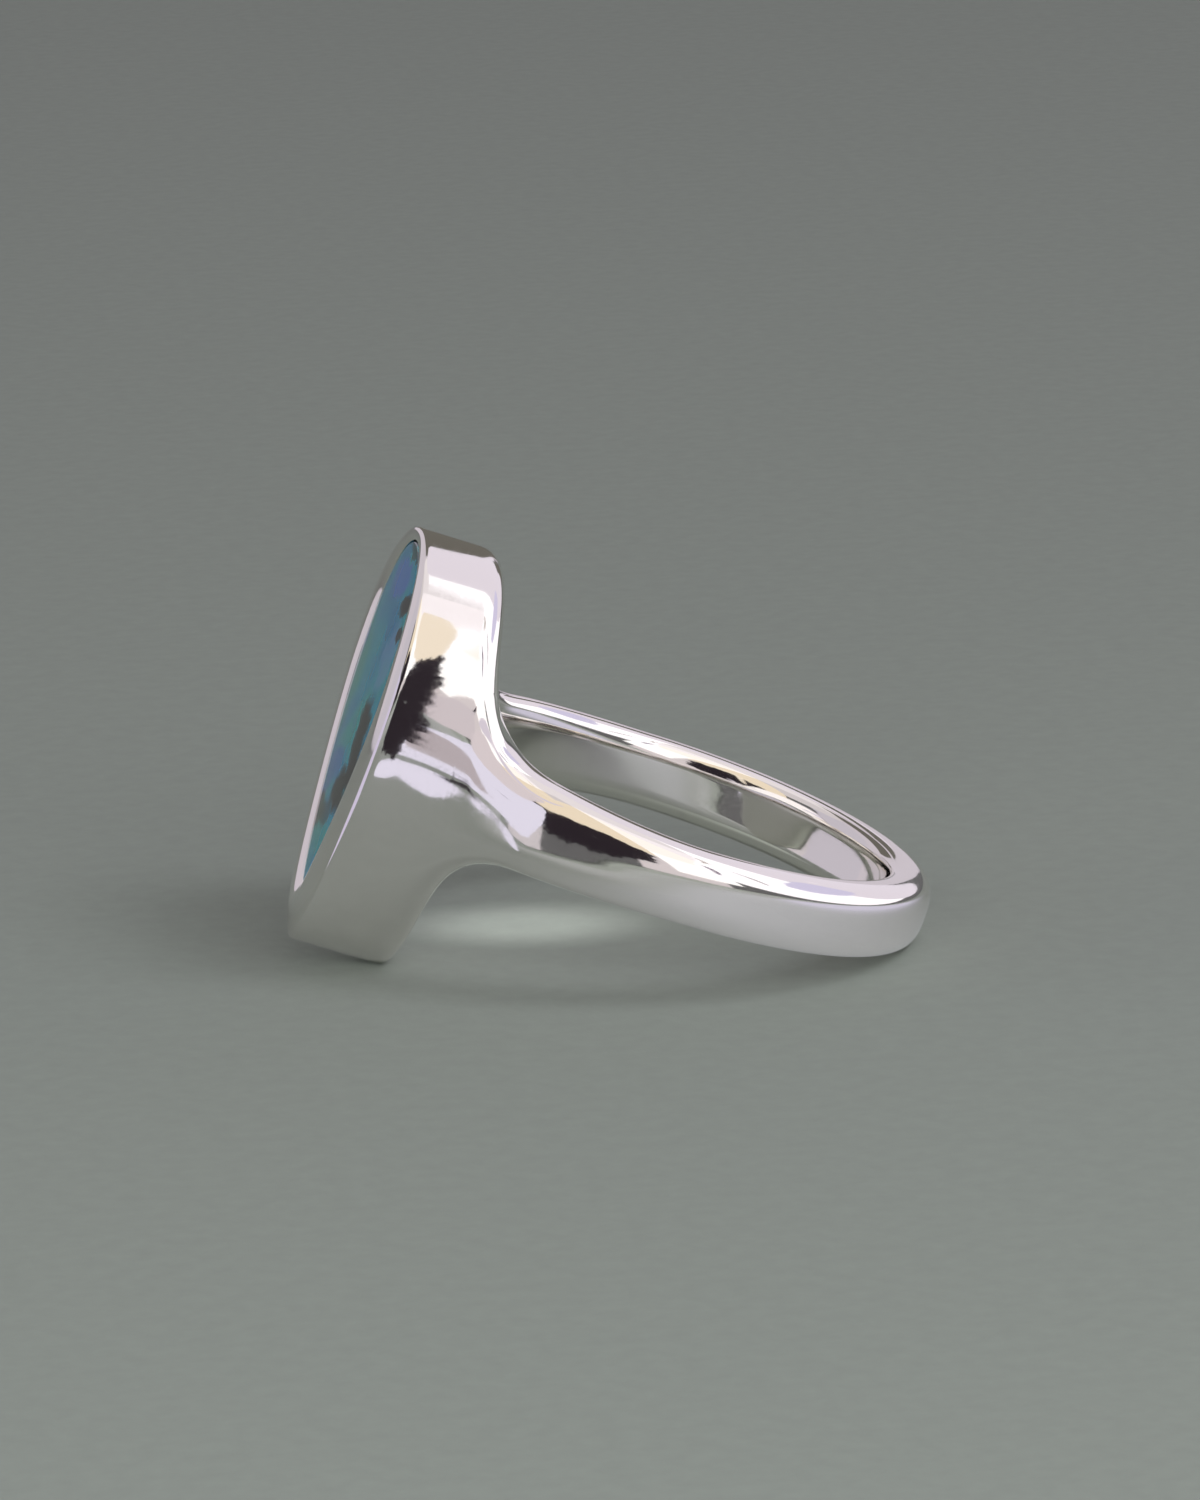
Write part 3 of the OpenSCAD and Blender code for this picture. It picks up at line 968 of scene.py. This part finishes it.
# Cards that the polished surfaces show: name, what they lie on and how far off, their form with the limits
# of its two measures or with its middle, half-sizes, lean and raggedness, their colour and strength
CARDS = (
    ("window_card", on_dome, 600, blot, ((93, 31), (67, 30.4), 0, 0.0), "#FBF8FF", 1.3),
    ("right_wall", on_dome, 590, blot, ((140, 30), (32, 26), 0, 0.0), "#EBE3F0", 1.0),
    ("sky_card", on_dome, 550, blot, ((104, 32), (26, 9), 0, 0.02), "#D8D2F0", 1.0),
    ("ceiling_card", on_dome, 700, panel, ((-64, 2), (30, 90)), "#F6E6CF", 1.0),
    ("ceiling_middle", on_dome, 700, panel, ((2, 50), (30, 90)), "#FFF8F4", 1.15),
    ("ceiling_edge", on_dome, 700, panel, ((50, 95), (30, 90)), "#FBF4FA", 1.1),
    ("ceiling_right", on_dome, 720, panel, ((50, 200), (50, 90)), "#F0E9EE", 1.0),
    ("ceiling_left", on_dome, 740, panel, ((-170, -60), (55, 90)), "#D9D2D6", 1.0),
    ("corner_card", on_dome, 650, panel, ((2, 32), (8, 40)), "#FFFCFE", 1.25),
    ("wall_left", on_dome, 800, panel, ((-136, -90), (-8, 60)), "#CAC4D0", 1.0),
    ("wall_behind", on_dome, 800, panel, ((-200, -136), (-8, 60)), "#D0C8D2", 1.0),
    ("dark_strip", on_screen, 38, panel, ((-8, 9), (15, 60)), "#6B6862", 1.0),
    ("dark_strip_low", on_screen, 38, panel, ((12, 20), (14, 26)), "#6B6862", 1.0),
    ("wall_front", on_dome, 800, panel, ((-90, -61), (-4, 14)), "#D3CCD2", 1.0),
    ("wall_corner", on_dome, 800, panel, ((-16, 24), (-4, 30)), "#DDD4D8", 1.0),
    ("front_shape", on_dome, 450, blot, ((-33, 22), (31, 18.5), 6, 0.05), "#2C262C", 1.0),
    ("window_bar_1", on_dome, 420, blot, ((36, 38), (11, 1.6), 62, 0.05), "#75627A", 1.0),
    ("window_bar_2", on_dome, 420, blot, ((60, 38), (12, 1.3), 70, 0.05), "#8A7A80", 1.0),
    ("window_bar_3", on_dome, 420, blot, ((72, 58), (14, 0.6), 12, 0.02), "#8F7B66", 1.0),
    ("near_white", on_screen, -9.5, blot, ((-7.0, 8.5), (2.3, 1.5), 5, 0.02), "#EAE6FA", 1.0),
    ("near_pink", on_screen, -9.49, blot, ((-5.8, 10.2), (1.2, 0.75), 25, 0.02), "#E0D5DB", 1.0),
    ("near_rose", on_screen, -9.49, blot, ((-6.6, 11.3), (1.1, 0.6), 60, 0.02), "#D6CCD3", 1.0),
    ("near_white_low", on_screen, -9.52, blot, ((-9.3, 6.0), (1.1, 0.5), 60, 0.02), "#EAE6FA", 1.0),
    ("near_grey", on_screen, -9.45, blot, ((-7.9, 8.7), (1.05, 0.34), 75, 0.02), "#BDB3BA", 1.0),
    ("near_dark", on_bent_screen, -9.4, blot, ((11.3, -0.1), (4.15, 0.8), -4, 0.06), "#2E282E", 1.0),
    ("near_cream", on_screen, -9.46, blot, ((-3.1, 21.0), (7.5, 0.95), 63, 0.02), "#FBEDDB", 1.0),
    ("near_left", on_side_screen, -17, panel, ((-10, -2.5), (2.5, 16)), "#D4CCE6", 1.0),
    ("near_fillet", on_screen, -9.5, blot, ((-4.35, 11.35), (0.95, 0.42), 0, 0.02), "#DED5E4", 1.0),
)

# Painted sheen of the paper: glowing cards just over it that only reflections show, so that the paper
# looks paler in the silver than to the camera, which sees it nearly along it: name, height, limits across
# and deep, colour and fade
SHEENS = (
    ("paper_sheen", 0.1, (-90, 120), (-90, 60), "#CBCBCF", ((-20, 60), 66, 112, 0.42)),
    ("paper_sheen_right", 0.2, (-18, 48), (-54, 10), "#D4D4DE", ((15, -22), 31, 7, 0.5)),
    ("paper_sheen_far", 0.4, (10, 90), (-50, 30), "#DAD6EC", ((50, -10), 37, 24, 0.85)),
    ("paper_sheen_left", 0.3, (-30, 2), (-26, 9), "#CBCBCF", ((-13, -8), 16, 3, 0.12)),
)


def add_card(name, surface, colour, strength=1.0, fade=None):
    """Card that only reflections show."""
    points, quads = surface
    card = add_mesh(name, points.tolist(), quads.tolist(), card_material(name, colour, strength, fade))
    card.visible_camera = False
    card.visible_diffuse = False
    card.visible_shadow = False
    card.visible_transmission = False


def add_lamp(name, azimuth, elevation, distance, sides, power, colour):
    """Soft lamp that faces the ring. It lights the matt surfaces, and the polished ones show the cards."""
    data = bpy.data.lights.new(name, "AREA")
    data.shape = "RECTANGLE"
    data.size, data.size_y = (side * MM for side in sides)
    data.energy = power
    data.color = linear(colour)[:3]
    lamp = bpy.data.objects.new(name, data)
    back = Vector(direction(azimuth, elevation))
    lamp.location = Vector(RING_CENTRE) + back * distance * MM
    lamp.rotation_mode = "QUATERNION"
    lamp.rotation_quaternion = back.to_track_quat("Z", "Y")
    bpy.context.scene.collection.objects.link(lamp)
    lamp.visible_camera = False
    lamp.visible_glossy = False


def add_paper(looks):
    """Square of paper that the ring lies on."""
    half = PAPER_HALF
    corners = [(-half, -half, 0.0), (half, -half, 0.0), (half, half, 0.0), (-half, half, 0.0)]
    paper = add_mesh("paper_floor", corners, [(0, 1, 2, 3)], sugar_paper_matt(looks))


def add_room_light():
    """Faint even light from all round."""
    world = bpy.data.worlds.new("room")
    world.use_nodes = True
    background = world.node_tree.nodes["Background"]
    background.inputs["Color"].default_value = linear(ROOM_COLOUR)
    background.inputs["Strength"].default_value = ROOM_STRENGTH
    bpy.context.scene.world = world


def add_camera():
    """Camera that looks back along its direction, rolled about it, with its eye moved sideways and up."""
    back = Vector(direction(CAMERA_AZIMUTH, CAMERA_ELEVATION))
    azimuth, roll = math.radians(CAMERA_AZIMUTH), math.radians(CAMERA_ROLL)
    flat = Vector((math.cos(azimuth), math.sin(azimuth), 0.0))
    above = back.cross(flat)
    right = math.cos(roll) * flat + math.sin(roll) * above
    up = math.cos(roll) * above - math.sin(roll) * flat
    eye = back * CAMERA_DISTANCE - right * CAMERA_LEFT + up * CAMERA_UP
    place = Matrix.Translation(Vector(RING_CENTRE) + eye * MM)
    data = bpy.data.cameras.new("camera")
    data.sensor_width = SENSOR_MM
    data.lens = SENSOR_MM * PIXELS_PER_MM * CAMERA_DISTANCE / FRAME_HEIGHT_PX
    data.clip_start = CAMERA_NEAR * MM
    camera = bpy.data.objects.new("camera", data)
    camera.matrix_world = place @ Matrix((right, up, back)).transposed().to_4x4()
    bpy.context.scene.collection.objects.link(camera)
    bpy.context.scene.camera = camera


def length_setting(name, description, millimetres):
    """Length in metres whose default is given in millimetres."""
    return bpy.props.FloatProperty(
        name=name,
        description=description,
        default=millimetres * MM,
        min=0.0,
        unit="LENGTH",
        precision=5,
    )


def colour_setting(name, description, code):
    """Linear colour whose default is given as an sRGB hex code."""
    return bpy.props.FloatVectorProperty(
        name=name,
        description=description,
        default=linear(code)[:3],
        min=0.0,
        max=1.0,
        size=3,
        subtype="COLOR",
    )


def setting_names(settings):
    """Names of the settings in a group, without the two that every group has."""
    return [name for name in settings.bl_rna.properties.keys() if name not in ("rna_type", "name")]


class Millimetres:
    """Sizes in millimetres, read from a group of settings in metres."""

    def __init__(self, settings):
        for name in setting_names(settings):
            setattr(self, name, getattr(settings, name) / MM)


class OPALRING_PG_sizes(bpy.types.PropertyGroup):
    """Main sizes of the ring"""

    bore: length_setting("Finger hole", "Inside diameter", 2 * BORE["dims"]["r_mm"])
    band_thickness: length_setting("Band thickness", "From the hole to the outside", 1.95)
    face_height: length_setting("Face height", "Middle of the face over the finger axis", 13.1)
    face_rise: length_setting("Face rise", "Rise of the domed face over its edge", 0.28)
    head_length: length_setting("Head length", "Length of the face along the finger", 16.8)
    head_width: length_setting("Head width", "Width of the face across the finger", 12.0)
    stone_length: length_setting("Stone length", "Length of the stone along the finger", 14.0)
    stone_width: length_setting("Stone width", "Width of the stone across the finger", 8.3)


class OPALRING_PG_looks(bpy.types.PropertyGroup):
    """Colours and finish"""

    silver_colour: colour_setting("Silver", "Colour of the silver's reflections", "#F3F0EB")
    silver_roughness: bpy.props.FloatProperty(
        name="Silver roughness",
        description="How far the polish blurs reflections",
        default=0.07,
        min=0.0,
        max=1.0,
        subtype="FACTOR",
    )
    opal_deep: colour_setting("Opal, deep blue", "Colour of the stone's deepest sheets", "#2078A4")
    opal_sea: colour_setting("Opal, sea blue", "Colour of most of the stone", "#2390A6")
    opal_green: colour_setting("Opal, green", "Colour of the stone's green sheets", "#2A9890")
    opal_violet: colour_setting("Opal, violet", "Colour of the stone's violet sheets", "#4D70B8")
    paper_colour: colour_setting("Paper", "Colour of the paper under the ring", "#929A8F")


class OPALRING_OT_silver(bpy.types.Operator):
    """Build the silver ring with its head"""

    bl_idname = "opalring.silver"
    bl_label = "Silver ring"

    def execute(self, context):
        surface = silver_surface(Millimetres(context.scene.opalring_sizes))
        material = cast_silver_buffed(context.scene.opalring_looks)
        make_piece("ring_silver", surface, "silver_ring", material)
        return {"FINISHED"}


class OPALRING_OT_opal(bpy.types.Operator):
    """Build the egg-shaped opal"""

    bl_idname = "opalring.opal"
    bl_label = "Opal"

    def execute(self, context):
        surface = stone_surface(Millimetres(context.scene.opalring_sizes))
        material = boulder_opal_polished(context.scene.opalring_looks)
        make_piece("opal_stone", surface, "opal", material)
        return {"FINISHED"}


class OPALRING_OT_stage(bpy.types.Operator):
    """Set the paper, the lights, the cards and the camera"""

    bl_idname = "opalring.stage"
    bl_label = "Stage"

    def execute(self, context):
        add_paper(context.scene.opalring_looks)
        add_room_light()
        for lamp in LAMPS:
            add_lamp(*lamp)
        for name, place, depth, form, measures, colour, strength in CARDS:
            add_card(name, form(*measures, depth, place), colour, strength)
        # Glowing cards over the paper that paint a sheen into the silver's reflections
        for name, height, across, deep, colour, fade in SHEENS:
            add_card(name, panel(across, deep, height, on_floor), colour, fade=fade)
        add_camera()
        context.scene.view_settings.view_transform = "Standard"
        return {"FINISHED"}


OPERATORS = (OPALRING_OT_silver, OPALRING_OT_opal, OPALRING_OT_stage)


class OPALRING_PT_panel(bpy.types.Panel):
    """Sidebar panel that lists the sizes, looks and steps"""

    bl_idname = "OPALRING_PT_panel"
    bl_label = "Opal ring"
    bl_space_type = "VIEW_3D"
    bl_region_type = "UI"
    bl_category = "Opal ring"

    def draw(self, context):
        for settings in (context.scene.opalring_sizes, context.scene.opalring_looks):
            for name in setting_names(settings):
                self.layout.prop(settings, name)
        for operator in OPERATORS:
            self.layout.operator(operator.bl_idname)


CLASSES = (OPALRING_PG_sizes, OPALRING_PG_looks, *OPERATORS, OPALRING_PT_panel)


def register():
    """Registers the classes and hangs the settings on the scene."""
    for cls in CLASSES:
        bpy.utils.register_class(cls)
    bpy.types.Scene.opalring_sizes = bpy.props.PointerProperty(type=OPALRING_PG_sizes)
    bpy.types.Scene.opalring_looks = bpy.props.PointerProperty(type=OPALRING_PG_looks)


def unregister():
    """Takes the settings and classes away again."""
    del bpy.types.Scene.opalring_looks
    del bpy.types.Scene.opalring_sizes
    for cls in reversed(CLASSES):
        bpy.utils.unregister_class(cls)


def main():
    """Builds every piece and the stage."""
    register()
    bpy.ops.opalring.silver()
    bpy.ops.opalring.opal()
    bpy.ops.opalring.stage()


if __name__ == "__main__":
    main()
